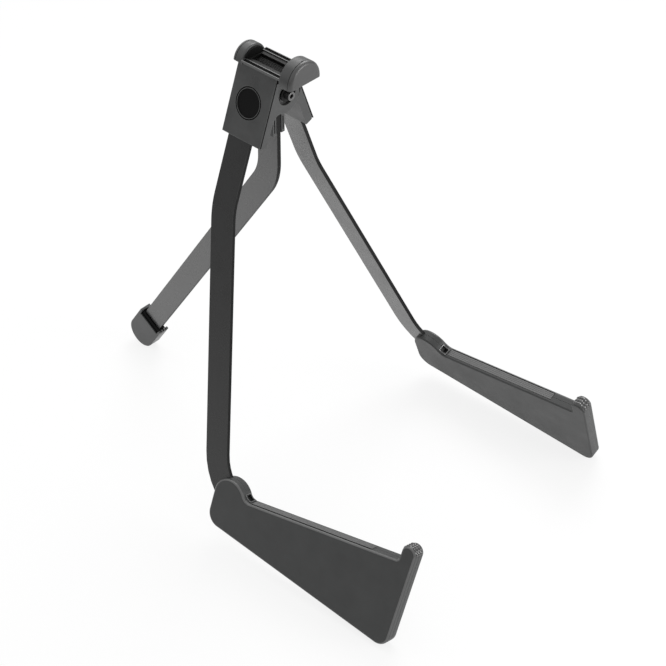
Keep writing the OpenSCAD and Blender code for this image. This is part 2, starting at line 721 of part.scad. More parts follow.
// A whole arm with rounded edges, solid
module arm_skin() {
    n = len(arm_outline);
    m = len(arm_layers);
    points = [for (p = arm_points) [p[0], -p[1], p[2]]];
    sides = [for (k = [0:m - 2], i = [0:n - 1])
        let (a = k * n + i, b = k * n + (i + 1) % n)
        each [[a, b, b + n], [a, b + n, a + n]]];
    polyhedron(points, concat([[for (i = [n - 1:-1:0]) i]], sides,
                              [[for (i = [0:n - 1]) (m - 1) * n + i]]));
}

// Cores the arm between x0 and x1: cells between ribs below the bar, and one in the toe
module arm_core(x0, x1) {
    for (a = [cell_a:rib_pitch:limb_end - rib_pitch]) let (b = a + rib_pitch - rib_t)
        arm_cell(x0, x1, a, b, limb_low(a), limb_low(b));
    a = limb_end + rib_t;
    b = arm_len - toe_r;
    arm_cell(x0, x1, a, b, seat_at(a) - strip_t - arm_wall, seat_at(b) - strip_t - arm_wall);
}

// One cell from a to b along the arm, whose top runs from height top_a to top_b
module arm_cell(x0, x1, a, b, top_a, top_b) {
    leg_slab(x0, x1) translate(arm_at)
        polygon([[a, arm_wall], [b, arm_wall], [b, top_b], [a, top_a]]);
}

// Groove or strip along the seat, between depths z0 and z1 from its surface
module seat_slab(w, z0, z1, a0, a1) {
    leg_slab(arm_split - w / 2, arm_split + w / 2)
        translate(arm_at + [0, seat_at(0)]) rotate(seat_rise)
            translate([a0 / cos(seat_rise), z0]) square([(a1 - a0) / cos(seat_rise), z1 - z0]);
}

// Everything on one side of the arm's split plane: half = 1 is the outward half
module half_space(half) {
    x0 = half > 0 ? arm_split : arm_in - 1;
    block([x0, -arm_at[0] - arm_len - 1, arm_at[1] - 1],
          [x0 + arm_out - arm_split + 1, 1 - arm_at[0], arm_at[1] + lip_top + 1]);
}

module arm_half(side, half) color(plastic_c) front_leg(side) difference() {
    intersection() {
        arm_skin();
        half_space(half);
    }
    leg_slab(bar_in - fit, bar_out + fit) polygon(strip_outline(bar_path, channel_w));
    if (half > 0) arm_core(arm_split - 1, arm_out - arm_wall);
    else arm_core(arm_in + arm_wall, arm_split + 1);
    seat_slab(strip_w + fit, -strip_sink, strip_t + 1, strip_a0, strip_a1);
    dowels(dowel_r + shaft_fit, dowel_x0 - fit, dowel_x1 + fit);
}

module arm_dowels(side) color(steel_c) front_leg(side) dowels(dowel_r, dowel_x0, dowel_x1);

module seat_strip(side) color(rubber_c) front_leg(side)
    seat_slab(strip_w, -strip_sink, strip_proud, strip_a0 + fit, strip_a1 - fit);

module rear_leg_bar() color(powder_c) stance() difference() {
    union() {
        mid_slab(-rear_t / 2, rear_t / 2) polygon(strip_outline(rear_path, rear_w));
        x_rod(rear_w / 2, -rear_t / 2, rear_t / 2, 0, -pivot_drop);
    }
    x_rod(bush_r + shaft_fit, -rear_t, rear_t, 0, -pivot_drop);
    boot_cross_pin(boot_pin_r + shaft_fit, -rear_t, rear_t);
}

module rear_bush() color(steel_c) stance() difference() {
    x_rod(bush_r, -rear_t / 2, rear_t / 2, 0, -pivot_drop);
    x_rod(pivot_r + shaft_fit, -rear_t, rear_t, 0, -pivot_drop);
}

// Drawing in the boot's own frame, with its mouth at the origin and its toe below
module boot_slab(x0, x1) {
    mid_slab(x0, x1) translate(rear_mouth) rotate(rear_lean) children();
}

// Boot outline of half width r, with its top edge at height top
module boot_form(r, top) {
    translate([0, boot_r - boot_len]) circle(r = r, $fn = 96);
    translate([-r, boot_r - boot_len]) square([2 * r, boot_len - boot_r + top]);
}

module boot_cross_pin(r, x0, x1) {
    p = rear_mouth + boot_pin_at * rear_dir;
    x_rod(r, x0, x1, p[0], p[1]);
}

module rear_boot() color(plastic_c) stance() difference() {
    boot_slab(-boot_half, boot_half) boot_form(boot_r, boot_ear);
    boot_slab(boot_side - boot_half, boot_half - boot_side) boot_form(boot_r - boot_wall, boot_ear + 1);
    // The side plates end at the mouth
    boot_slab(-boot_half - 1, boot_half + 1)
        translate([boot_wall - boot_r, 0]) square([2 * (boot_r - boot_wall), boot_ear + 1]);
}

module boot_insert() color(rubber_c) stance() difference() {
    boot_slab(-core_half, core_half) boot_form(core_edge, core_rise);
    mid_slab(-rear_t / 2 - fit, rear_t / 2 + fit) polygon(strip_outline(
        [rear_mouth - 20 * rear_dir, rear_mouth + (boot_grip + fit) * rear_dir], rear_w + 2 * fit));
    boot_cross_pin(boot_pin_r + shaft_fit, -boot_half, boot_half);
}

module boot_pin() color(steel_c) stance() boot_cross_pin(boot_pin_r, -core_half, core_half);

echo(lean = lean, floor_z = floor_z, mid_y = mid_y, front_y = front_y, back_y = back_y);

saddle_body();
front_bumper();
rear_bumper();
saddle_pad();
saddle_screws();
yoke();
hinge_axle();
axle_washers();
axle_cap();
leg_pivot();
pivot_washers();
hub(-1);  // left_hub
cover(-1);  // left_cover
badge(-1);  // left_badge
leg_bar(-1);  // left_leg_bar
bar_screws(-1);  // left_bar_screws
arm_half(-1, 1);  // left_arm_outer
arm_half(-1, -1);  // left_arm_inner
arm_dowels(-1);  // left_arm_dowels
seat_strip(-1);  // left_seat_strip
hub(1);  // right_hub
cover(1);  // right_cover
badge(1);  // right_badge
leg_bar(1);  // right_leg_bar
bar_screws(1);  // right_bar_screws
arm_half(1, 1);  // right_arm_outer
arm_half(1, -1);  // right_arm_inner
arm_dowels(1);  // right_arm_dowels
seat_strip(1);  // right_seat_strip
rear_leg_bar();
rear_bush();
rear_boot();
boot_insert();
boot_pin();
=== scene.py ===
"""Looks of a folding guitar stand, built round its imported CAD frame."""

import json
import math

import bmesh
import bpy
from mathutils import Matrix, Vector

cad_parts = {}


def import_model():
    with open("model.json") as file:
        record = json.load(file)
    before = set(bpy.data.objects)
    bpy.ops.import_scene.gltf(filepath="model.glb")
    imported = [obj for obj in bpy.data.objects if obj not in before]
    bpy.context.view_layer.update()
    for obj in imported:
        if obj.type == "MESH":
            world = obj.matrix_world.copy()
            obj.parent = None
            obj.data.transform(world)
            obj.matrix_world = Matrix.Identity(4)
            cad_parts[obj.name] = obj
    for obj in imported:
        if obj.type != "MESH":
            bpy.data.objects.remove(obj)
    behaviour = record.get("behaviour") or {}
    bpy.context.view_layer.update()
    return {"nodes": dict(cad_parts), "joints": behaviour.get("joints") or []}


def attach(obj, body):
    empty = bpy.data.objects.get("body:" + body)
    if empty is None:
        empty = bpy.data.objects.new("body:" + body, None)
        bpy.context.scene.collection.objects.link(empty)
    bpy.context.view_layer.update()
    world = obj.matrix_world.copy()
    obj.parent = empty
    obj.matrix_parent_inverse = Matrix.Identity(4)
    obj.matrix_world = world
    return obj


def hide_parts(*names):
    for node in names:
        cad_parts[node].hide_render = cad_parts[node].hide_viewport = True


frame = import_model()

# Sizes are millimetres in the frame of the hinge axle, and MM turns them into metres
MM = 0.001

# STANCE takes a point from the frame of the hinge axle, with x across, y along the axle and z up,
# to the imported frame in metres. leg_tilt is how far an open front leg stands from upright.
joints = {j["name"]: j for j in frame["joints"]}
fold = joints["right_leg_fold"]
lean = math.atan2(fold["axis"][2], fold["axis"][1])
leg_tilt = math.radians(fold["range_deg"][1])
STANCE = Matrix.Translation(fold["pos_m"]) @ Matrix.Rotation(lean, 4, "X") @ Matrix.Scale(MM, 4)
SIDES = {"left": -1, "right": 1}


def leg_frame(side):
    """Frame of a front leg, drawn for the right side with x outward and the axle at the origin."""
    return STANCE @ Matrix.Diagonal((side, 1, 1, 1)) @ Matrix.Rotation(-leg_tilt, 4, "Y")


# Sizes that repeat those of the CAD source
leg_drop = 298
bar_w = 19.2
bar_t = 2.9
bar_in = 8.8
bar_set = 2.9
bend_drop = 86.5
bar_lean = math.radians(15.8)
bend_r = 60
heel_bend_r = 39
heel_h = 12.4
limb_len = 118
arm_len = 163
arm_cheek = 3.5
arm_back = 2.2
heel_r = 10
hump_r = 14
hump_h = 39.8
seat_h = 31.4
seat_rise = math.radians(14.5)
hump_root_r = 6
hump_step = 1.2
lip_r = 5.4
lip_h = 13
root_r = 2.5
toe_r = 9
arm_edge_r = 2
strip_w = 5.4
strip_t = 1.4
strip_proud = 0.3
strip_back = 2.4
strip_stop = 21
cover_out = 13.8
cover_t = 1.7
badge_r = 9.3
badge_drop = 12.2
badge_set = 0.8
badge_sink = 1
saddle_w = 23
saddle_top = 17.7
saddle_front = 22.4
saddle_back = 12.1
front_plate_t = 7.9
rear_plate_t = 5.8
front_d = (14, 15)
rear_d = (11.2, 13)
rear_bend_drop = 68
rear_lean = math.radians(33.2)
rear_run = 248
boot_r = 12.7
boot_wall = 2.2
boot_ear = 5

bar_out = bar_in + bar_t
arm_in = bar_in - arm_cheek
arm_out = bar_out + arm_cheek
arm_split = bar_in + bar_t / 2
heel = Vector((-bar_set + (leg_drop - heel_h - bend_drop) * math.tan(bar_lean), heel_h - leg_drop))
seat_dir = Vector((math.cos(seat_rise), math.sin(seat_rise)))
arm_at = Vector((heel.x - arm_back, -leg_drop))


# Outlines

def arc(centre, r, start, end, steps=24):
    """Points of an arc, from one angle in degrees to another."""
    turns = [math.radians(start + (end - start) * i / steps) for i in range(steps + 1)]
    return [Vector((centre[0] + r * math.cos(a), centre[1] + r * math.sin(a))) for a in turns]


def left_of(v):
    """A vector turned a quarter turn to the left."""
    return Vector((-v.y, v.x))


def cross(a, b):
    """The cross product of two plane vectors."""
    return a.x * b.y - a.y * b.x


def rounded_path(points, radii):
    """A polyline whose inner corners are rounded."""
    path = [Vector(points[0])]
    for i, r in enumerate(radii):
        before, corner, after = (Vector(points[i + k]) for k in range(3))
        a = (corner - before).normalized()
        b = (after - corner).normalized()
        turn = math.atan2(cross(a, b), a.dot(b))
        start = corner - a * r * math.tan(abs(turn) / 2)
        centre = start + math.copysign(r, turn) * left_of(a)
        first = math.degrees(math.atan2(start.y - centre.y, start.x - centre.x))
        path += arc(centre, r, first, first + math.degrees(turn))
    return path + [Vector(points[-1])]


def mitres(path, closed):
    """Unit steps to the left at each point of a path, lengthened at its corners."""
    n = len(path)
    out = []
    for i in range(n):
        before = path[i - 1] if closed or i > 0 else path[0]
        here = path[i] if closed or i > 0 else path[1]
        after = path[(i + 1) % n] if closed or i < n - 1 else path[-1]
        start = path[i] if closed or i < n - 1 else path[-2]
        a = (here - before).normalized()
        b = (after - start).normalized()
        m = (a + b).normalized()
        out.append(left_of(m) / m.dot(b))
    return out


def strip_outline(path, width):
    """The outline of a strip along a path."""
    side = mitres(path, False)
    left = [p + s * width / 2 for p, s in zip(path, side)]
    right = [p - s * width / 2 for p, s in zip(path, side)]
    return left + right[::-1]


def inset(outline, d):
    """A counterclockwise outline moved inward."""
    return [p + s * d for p, s in zip(outline, mitres(outline, True))]


def distinct(points, least=0.01):
    """A closed outline without the points that repeat the one before."""
    return [p for i, p in enumerate(points) if (p - points[i - 1]).length > least]


# Arm outline, from the lower rear corner of the arm

def seat_at(a):
    """Height of the seat at distance a from the arm's rear corner."""
    return seat_h + (a - seat_a) * math.tan(seat_rise)


hump_c = Vector((hump_r, hump_h - hump_r))
seat_a = 2 * hump_r + hump_step
lip_foot = arm_len - 2 * lip_r
lip_top = seat_at(lip_foot) + lip_h
lip_c = Vector((arm_len - lip_r, lip_top - lip_r))
root_c = Vector((lip_foot - root_r, seat_at(lip_foot - root_r) + root_r / math.cos(seat_rise)))
foot_base = Vector((seat_a, seat_h)) + hump_root_r * left_of(seat_dir)
foot_off = (hump_c - foot_base).dot(left_of(seat_dir))
foot_run = (hump_c - foot_base).dot(seat_dir) + math.sqrt((hump_r + hump_root_r) ** 2 - foot_off ** 2)
foot_c = foot_base + foot_run * seat_dir
foot_a = math.degrees(math.atan2(hump_c.y - foot_c.y, hump_c.x - foot_c.x))
seat_turn = math.degrees(seat_rise) - 90
foot_arc = arc(foot_c, hump_root_r, seat_turn, foot_a - 360 if foot_a > 0 else foot_a, steps=12)
hump_arc = arc(hump_c, hump_r, foot_a - 180 if foot_a > 0 else foot_a + 180, 180, steps=36)
lip_arc = arc(lip_c, lip_r, 0, 180, steps=28)
root_arc = arc(root_c, root_r, 0, seat_turn, steps=10)
arm_outline = distinct(
    arc((arm_len - toe_r, toe_r), toe_r, -90, 0)
    + lip_arc
    + root_arc
    + foot_arc
    + hump_arc
    + arc((heel_r, heel_r), heel_r, 180, 270)
)
bar_path = rounded_path(
    [(-bar_set, 0), (-bar_set, -bend_drop), heel, heel + limb_len * seat_dir], [bend_r, heel_bend_r]
)


# Meshes

# How far a cutting shape reaches past the surface that it cuts
past = 1


def new_object(name, mesh):
    """A new object in the scene that shows a mesh."""
    obj = bpy.data.objects.new(name, mesh)
    bpy.context.scene.collection.objects.link(obj)
    return obj


def mesh_of(name, points, faces, matrix):
    """A closed mesh from points in a local frame, with its faces turned outward."""
    bm = bmesh.new()
    verts = [bm.verts.new(matrix @ Vector(p)) for p in points]
    for face in faces:
        bm.faces.new([verts[i] for i in face])
    bmesh.ops.recalc_face_normals(bm, faces=bm.faces)
    mesh = bpy.data.meshes.new(name)
    bm.to_mesh(mesh)
    bm.free()
    return mesh


def loft(name, rings, matrix):
    """A closed solid through rings of points of equal length, flat at both ends."""
    n = len(rings[0])
    last = (len(rings) - 1) * n
    points = [p for ring in rings for p in ring]
    faces = [tuple(range(n)), tuple(last + i for i in range(n))]
    for k in range(len(rings) - 1):
        for i in range(n):
            a = k * n + i
            b = k * n + (i + 1) % n
            faces.append((a, b, b + n, a + n))
    return mesh_of(name, points, faces, matrix)


def leg_points(outline, x, at=(0, 0)):
    """Points of a leg plane drawing of [forward, up] at depth x."""
    return [(x, -(at[0] + p.x), at[1] + p.y) for p in outline]


def slab(name, outline, x0, x1, matrix, at=(0, 0)):
    """A leg plane drawing drawn out from depth x0 to x1."""
    return loft(name, [leg_points(outline, x0, at), leg_points(outline, x1, at)], matrix)


def lathe(name, profile, matrix, steps=72):
    """A solid of revolution about the x axis from a profile of [radius, x], closed at its ends."""
    rings = []
    for r, x in profile:
        turns = [2 * math.pi * i / steps for i in range(steps)]
        rings.append([(x, r * math.cos(a), r * math.sin(a)) for a in turns])
    return loft(name, rings, matrix)


def ring_mesh(name, profile, matrix, steps=96):
    """A closed ring about the x axis from a closed profile of [radius, x], whose last point repeats
    its first."""
    n = len(profile) - 1
    points = []
    for i in range(steps):
        a = 2 * math.pi * i / steps
        points += [(x, r * math.cos(a), r * math.sin(a)) for r, x in profile[:n]]
    faces = []
    for i in range(steps):
        j = (i + 1) % steps
        for k in range(n):
            m = (k + 1) % n
            faces.append((i * n + k, i * n + m, j * n + m, j * n + k))
    return mesh_of(name, points, faces, matrix)


def box_mesh(name, a, b, matrix):
    """A box from corner a to corner b."""
    corners = [(x, y, z) for x in (a[0], b[0]) for y in (a[1], b[1]) for z in (a[2], b[2])]
    faces = [(0, 1, 3, 2), (4, 5, 7, 6), (0, 1, 5, 4), (2, 3, 7, 6), (0, 2, 6, 4), (1, 3, 7, 5)]
    return mesh_of(name, corners, faces, matrix)


def cross_slab(name, outline, y0, y1, matrix):
    """A drawing of [x, up] drawn out from y0 to y1."""
    return loft(name, [[(x, y, z) for x, z in outline] for y in (y0, y1)], matrix)


def cut(obj, mesh, operation="DIFFERENCE"):
    """Cuts obj with a closed mesh, or joins it on, and keeps the result in its own mesh."""
    tool = new_object("cutter", mesh)
    mod = obj.modifiers.new("cut", "BOOLEAN")
    mod.operation = operation
    mod.solver = "EXACT"
    mod.object = tool
    graph = bpy.context.evaluated_depsgraph_get()
    made = bpy.data.meshes.new_from_object(obj.evaluated_get(graph))
    obj.modifiers.clear()
    obj.data = made
    bpy.data.objects.remove(tool)


def smooth(obj, angle=32):
    """Smooth shading that breaks where faces meet at more than an angle in degrees."""
    obj.data.polygons.foreach_set("use_smooth", [True] * len(obj.data.polygons))
    obj.data.set_sharp_from_angle(angle=math.radians(angle))


def round_edges(obj, width, angle=32, segments=3):
    """Rounds the sharp edges of a piece by width millimetres."""
    mod = obj.modifiers.new("rounded edges", "BEVEL")
    mod.width = width * MM
    mod.segments = segments
    mod.limit_method = "ANGLE"
    mod.angle_limit = math.radians(angle)
    even_shading(obj)


def even_shading(obj):
    """Lets large faces set the normals at their corners, so that flat faces look flat."""
    mod = obj.modifiers.new("even shading", "WEIGHTED_NORMAL")
    mod.mode = "FACE_AREA_WITH_ANGLE"
    mod.keep_sharp = True


# Least share of a face's normal that points sideways, for a face of a flat piece
side_turn = 0.7


def by_side(obj, matrix, outer, inner, edge):
    """Gives a flat piece one material on its outer face, one on its inner face and one on its edges."""
    out = (matrix.to_3x3() @ Vector((1, 0, 0))).normalized()
    obj.data.materials.clear()
    for material in (outer, inner, edge):
        obj.data.materials.append(material)
    for face in obj.data.polygons:
        turn = face.normal.dot(out)
        face.material_index = 0 if turn > side_turn else 1 if turn < -side_turn else 2


# Share of a face's normal that points sideways, where the rounding of an arm's face gets a painted
# highlight
rim_turn = (0.45, 0.93)


def paint_rim_highlight(obj, matrix, material):
    """Paints a highlight on the middle of the rounding round an arm's face, as a paler, glossier
    material.
    """
    out = (matrix.to_3x3() @ Vector((1, 0, 0))).normalized()
    obj.data.materials.append(material)
    for face in obj.data.polygons:
        if rim_turn[0] < abs(face.normal.dot(out)) < rim_turn[1]:
            face.material_index = 1


def finish_piece(obj, body, material, replaced=()):
    """Gives a piece its material, its body and the CAD nodes that it stands for."""
    obj.data.materials.clear()
    obj.data.materials.append(material)
    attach(obj, body)
    if replaced:
        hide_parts(*replaced)
    return obj


# Points closer than weld, in metres, are joined, and faces nearly in one plane become one face
weld = 2e-6
flat_angle = math.radians(0.5)


def refine(node, body, material, width, cuts=(), joins=()):
    """A copy of a CAD node that stands for it, with its flat faces joined, then shapes cut from it
    or joined to it, and its edges rounded."""
    bm = bmesh.new()
    bm.from_mesh(frame["nodes"][node].data)
    bmesh.ops.remove_doubles(bm, verts=bm.verts, dist=weld)
    bmesh.ops.dissolve_limit(bm, angle_limit=flat_angle, verts=bm.verts, edges=bm.edges)
    mesh = bpy.data.meshes.new(node + "_skin")
    bm.to_mesh(mesh)
    bm.free()
    obj = new_object(node + "_skin", mesh)
    for shape in joins:
        cut(obj, shape, "UNION")
    for shape in cuts:
        cut(obj, shape)
    smooth(obj)
    round_edges(obj, width)
    return finish_piece(obj, body, material, [node])


# Materials

# Repeats per metre of the patches of tone and gloss and of the slow unevenness, and the finer layers
# of noise in each texture
patch_scale = 55
swell_scale = 60
grain_detail = 4
patch_detail = 5
swell_detail = 1

# Noise values between which the patches change the roughness, and how far it changes to each side
patch_range = (0.3, 0.7)
rough_spread = 0.06

# Height of the grain as a share of its size
grain_height = 0.5

# Reach of the paler edges, partly wear and partly painted highlight, in millimetres, and the cosines of
# the rounded normal's turn where the paling starts and where it is full
wear_and_sheen_reach = 0.6
wear_and_sheen_turn = (0.995, 0.85)
wear_and_sheen_samples = 4


def grained(name, colour, rough, specular, grain, depth, wear_and_sheen=0.0, metal=0.0, mottle=0.0, wave=0.0):
    """A surface with a fine grain and patchy roughness. grain is the size of the grain in millimetres and
    depth the strength of its bump, the wear and sheen argument makes its edges paler, partly as wear and
    partly as a painted highlight, mottle varies its tone and wave is the height in millimetres of a slow
    unevenness."""
    material = bpy.data.materials.new(name)
    material.use_nodes = True
    nodes = material.node_tree.nodes
    links = material.node_tree.links
    shader = nodes["Principled BSDF"]
    shader.inputs["Specular IOR Level"].default_value = specular
    shader.inputs["Metallic"].default_value = metal
    place = nodes.new("ShaderNodeTexCoord")
    fine = nodes.new("ShaderNodeTexNoise")
    fine.inputs["Scale"].default_value = 1 / (grain * MM)
    fine.inputs["Detail"].default_value = grain_detail
    links.new(place.outputs["Object"], fine.inputs["Vector"])
    broad = nodes.new("ShaderNodeTexNoise")
    broad.inputs["Scale"].default_value = patch_scale
    broad.inputs["Detail"].default_value = patch_detail
    links.new(place.outputs["Object"], broad.inputs["Vector"])
    bump = nodes.new("ShaderNodeBump")
    bump.inputs["Strength"].default_value = depth
    bump.inputs["Distance"].default_value = grain * MM * grain_height
    links.new(fine.outputs["Fac"], bump.inputs["Height"])
    links.new(bump.outputs["Normal"], shader.inputs["Normal"])
    if wave:
        slow = nodes.new("ShaderNodeTexNoise")
        slow.inputs["Scale"].default_value = swell_scale
        slow.inputs["Detail"].default_value = swell_detail
        links.new(place.outputs["Object"], slow.inputs["Vector"])
        swell = nodes.new("ShaderNodeBump")
        swell.inputs["Strength"].default_value = 1
        swell.inputs["Distance"].default_value = wave * MM
        links.new(slow.outputs["Fac"], swell.inputs["Height"])
        links.new(swell.outputs["Normal"], bump.inputs["Normal"])
    spread = nodes.new("ShaderNodeMapRange")
    spread.inputs["From Min"].default_value = patch_range[0]
    spread.inputs["From Max"].default_value = patch_range[1]
    spread.inputs["To Min"].default_value = rough - rough_spread
    spread.inputs["To Max"].default_value = rough + rough_spread
    links.new(broad.outputs["Fac"], spread.inputs["Value"])
    links.new(spread.outputs["Result"], shader.inputs["Roughness"])
    tint = nodes.new("ShaderNodeMixRGB")
    tint.inputs["Color1"].default_value = (*[c * (1 - mottle) for c in colour], 1)
    tint.inputs["Color2"].default_value = (*[min(1, c * (1 + mottle)) for c in colour], 1)
    links.new(broad.outputs["Fac"], tint.inputs["Fac"])
    out = tint.outputs["Color"]
    # Paler edges: partly wear, partly a painted highlight along them
    if wear_and_sheen:
        out = worn_and_highlit(nodes, links, out, colour, wear_and_sheen)
    links.new(out, shader.inputs["Base Color"])
    return material


def worn_and_highlit(nodes, links, source, colour, wear_and_sheen):
    """Paler colour at edges, partly wear and partly a painted highlight, found from how far a rounded
    normal turns from the true one."""
    rounded = nodes.new("ShaderNodeBevel")
    rounded.inputs["Radius"].default_value = wear_and_sheen_reach * MM
    rounded.samples = wear_and_sheen_samples
    flat = nodes.new("ShaderNodeNewGeometry")
    dot = nodes.new("ShaderNodeVectorMath")
    dot.operation = "DOT_PRODUCT"
    links.new(rounded.outputs["Normal"], dot.inputs[0])
    links.new(flat.outputs["Normal"], dot.inputs[1])
    edge = nodes.new("ShaderNodeMapRange")
    edge.inputs["From Min"].default_value = wear_and_sheen_turn[0]
    edge.inputs["From Max"].default_value = wear_and_sheen_turn[1]
    edge.inputs["To Max"].default_value = 1.0
    links.new(dot.outputs["Value"], edge.inputs["Value"])
    mix = nodes.new("ShaderNodeMixRGB")
    links.new(edge.outputs["Result"], mix.inputs["Fac"])
    links.new(source, mix.inputs["Color1"])
    mix.inputs["Color2"].default_value = (*[c + wear_and_sheen for c in colour], 1)
    return mix.outputs["Color"]


def grey(level):
    """A neutral grey."""
    return (level, level, level)


def cool(level):
    """A grey with a trace of green and blue, as of dark moulded plastic."""
    return (level, level + 0.001, level + 0.001)


housing = grained(
    "housing plastic", cool(0.033), rough=0.34, specular=0.65, grain=0.35, depth=0.2,
    wear_and_sheen=0.05, mottle=0.35, wave=0.2)
arm_plastic = grained(
    "arm plastic", cool(0.043), rough=0.42, specular=0.32, grain=0.35, depth=0.2,
    wear_and_sheen=0.05, mottle=0.35, wave=0.15)
# Paler, glossier arm plastic: a painted highlight along the rounded rim of an arm's face
arm_rim_highlight = grained(
    "arm rim painted highlight", grey(0.075), rough=0.3, specular=0.8, grain=0.35, depth=0.15,
    mottle=0.35, wave=0.15)
plate = grained(
    "cover plastic", cool(0.046), rough=0.3, specular=0.5, grain=0.3, depth=0.2,
    wear_and_sheen=0.07, mottle=0.6, wave=0.6)
powder = grained(
    "powder coat", grey(0.006), rough=0.28, specular=0.55, grain=0.5, depth=0.3, wear_and_sheen=0.02, mottle=0.2)
# Near-black for the narrow edges of the bars: painted shade
bar_edge_shade = grained(
    "bar edge painted shade", grey(0.003), rough=0.45, specular=0.15, grain=0.4, depth=0.3, wear_and_sheen=0.05, mottle=0.2)
# Grey coat of the rear leg, its own colour there; the front bars' inner faces take it too, as a painted
# reflection on a bar that is black
grey_coat_and_sheen = grained(
    "grey powder coat and painted sheen", grey(0.072), rough=0.28, specular=0.9, grain=0.5, depth=0.35,
    wear_and_sheen=0.03, mottle=0.2)
rubber = grained(
    "rubber", grey(0.034), rough=0.38, specular=0.8, grain=0.25, depth=0.12,
    wear_and_sheen=0.03, mottle=0.35, wave=0.2)
strip_rubber = grained(
    "strip rubber", grey(0.036), rough=0.36, specular=1.0, grain=0.25, depth=0.05, mottle=0.3)
gloss_rubber = grained(
    "glossy rubber", grey(0.01), rough=0.14, specular=1.0, grain=0.3, depth=0.1, mottle=0.2)
gloss_grey = grained(
    "glossy grey plastic", grey(0.07), rough=0.25, specular=0.8, grain=0.3, depth=0.1, mottle=0.2)
lining = grained(
    "lining rubber", grey(0.004), rough=0.5, specular=0.2, grain=0.2, depth=0.3, mottle=0.2)
# Black for pieces that are painted shade: the boot insert, the rail strips, the left groove strip, the
# badge ring and the cover's edge faces
shade_black = grained(
    "black painted shade", grey(0.006), rough=0.7, specular=0.05, grain=0.3, depth=0.2, mottle=0.2)
steel = grained(
    "zinc steel", (0.45, 0.45, 0.44), rough=0.34, specular=0.5, grain=0.4, depth=0.15,
    metal=1.0, mottle=0.15)
dark_steel = grained(
    "dark steel", grey(0.16), rough=0.36, specular=0.5, grain=0.4, depth=0.2, metal=1.0, mottle=0.2)
badge_black = grained(
    "badge black", grey(0.003), rough=0.45, specular=0.1, grain=0.3, depth=0.1, mottle=0.2)


# Head

seam_w = 0.55
seam_d = 0.6
notch_w = 2.2
notch_d = 1.1
rail_groove = (8.3, 10.9)
rail_groove_d = 0.8
side_groove_d = 1.3
side_groove_z = (14.9, 16.3)
groove_inset = 0.6
shade_strip_gap = 0.1
shade_strip_t = 0.2
comb_half = 4.6
comb_z = (14.1, 14.6, 15.2)
comb_teeth = 8
comb_end = 2.4
# Corners of a rib of the comb, as shares of its pitch
comb_rib = (0.3, 0.4, 0.75, 0.9)


def seam_ring(d, y):
    """A ring of triangular section that cuts a seam round a D plate of [radius, centre height] at y."""
    r, z = d
    at = STANCE @ Matrix.Translation((0, 0, z)) @ Matrix.Rotation(math.radians(90), 4, "Z")
    foot = (r - seam_d, y)
    profile = [foot, (r + seam_d, y - seam_w), (r + seam_d, y + seam_w), foot]
    return ring_mesh("seam", profile, at)


def seam_notch(d, y):
    """A small notch in the seam at the top of a D plate."""
    r, z = d
    low = (-notch_w / 2, y - seam_w, z + r - notch_d)
    high = (notch_w / 2, y + seam_w, z + r + past)
    return box_mesh("notch", low, high, STANCE)


def rail_cuts():
    """Grooves along the top and the outer side of each rail of the saddle."""
    y0 = -saddle_front + groove_inset
    y1 = saddle_back - groove_inset
    shapes = []
    for side in SIDES.values():
        x0, x1 = sorted(side * x for x in rail_groove)
        low = (x0, y0, saddle_top - rail_groove_d)
        shapes.append(box_mesh("top groove", low, (x1, y1, saddle_top + past), STANCE))
        x0, x1 = sorted((side * (saddle_w / 2 - side_groove_d), side * (saddle_w / 2 + past)))
        low = (x0, y0, side_groove_z[0])
        shapes.append(box_mesh("side groove", low, (x1, y1, side_groove_z[1]), STANCE))
    return shapes


def rail_shade_strip():
    """Black strips at the bottom of the grooves along the rails, painted shade that darkens the grooves.
    """
    y0 = -saddle_front + groove_inset + shade_strip_gap
    y1 = saddle_back - groove_inset - shade_strip_gap
    for name, side in SIDES.items():
        x0, x1 = sorted(side * x for x in rail_groove)
        floor_z = saddle_top - rail_groove_d
        low = (x0 + shade_strip_gap, y0, floor_z)
        high = (x1 - shade_strip_gap, y1, floor_z + shade_strip_t)
        obj = new_object(name + "_rail_shade_strip", box_mesh("shade_strip", low, high, STANCE))
        round_edges(obj, width=0.05)
        finish_piece(obj, "head", shade_black)


def comb():
    """Fine ribs that run along the floor of the pad, over the heads of the screws below it."""
    low, floor_top, tip = comb_z
    pitch = 2 * comb_half / comb_teeth
    line = [(-comb_half, low), (comb_half, low)]
    for i in range(comb_teeth):
        x = comb_half - i * pitch
        foot, rise, fall, end = (x - pitch * share for share in comb_rib)
        line += [(x, floor_top), (foot, floor_top), (rise, tip), (fall, tip), (end, floor_top)]
    line.append((-comb_half, floor_top))
    return cross_slab("comb", line, comb_end - saddle_front, saddle_back - comb_end, STANCE)


front_seam_y = -saddle_front - front_plate_t
rear_seam_y = saddle_back + rear_plate_t


def seams():
    """The seams round both D plates and the notches at their tops."""
    return [
        seam_ring(front_d, front_seam_y),
        seam_ring(rear_d, rear_seam_y),
        seam_notch(front_d, front_seam_y),
        seam_notch(rear_d, rear_seam_y),
    ]


front_seam = seam_ring(front_d, front_seam_y)
rear_seam = seam_ring(rear_d, rear_seam_y)
refine("saddle_body", "head", housing, width=0.3, cuts=rail_cuts() + seams())
refine("front_bumper", "head", rubber, width=0.35, cuts=[front_seam])
refine("rear_bumper", "head", rubber, width=0.35, cuts=[rear_seam])
refine("saddle_pad", "head", lining, width=0.15, joins=[comb()])
rail_shade_strip()

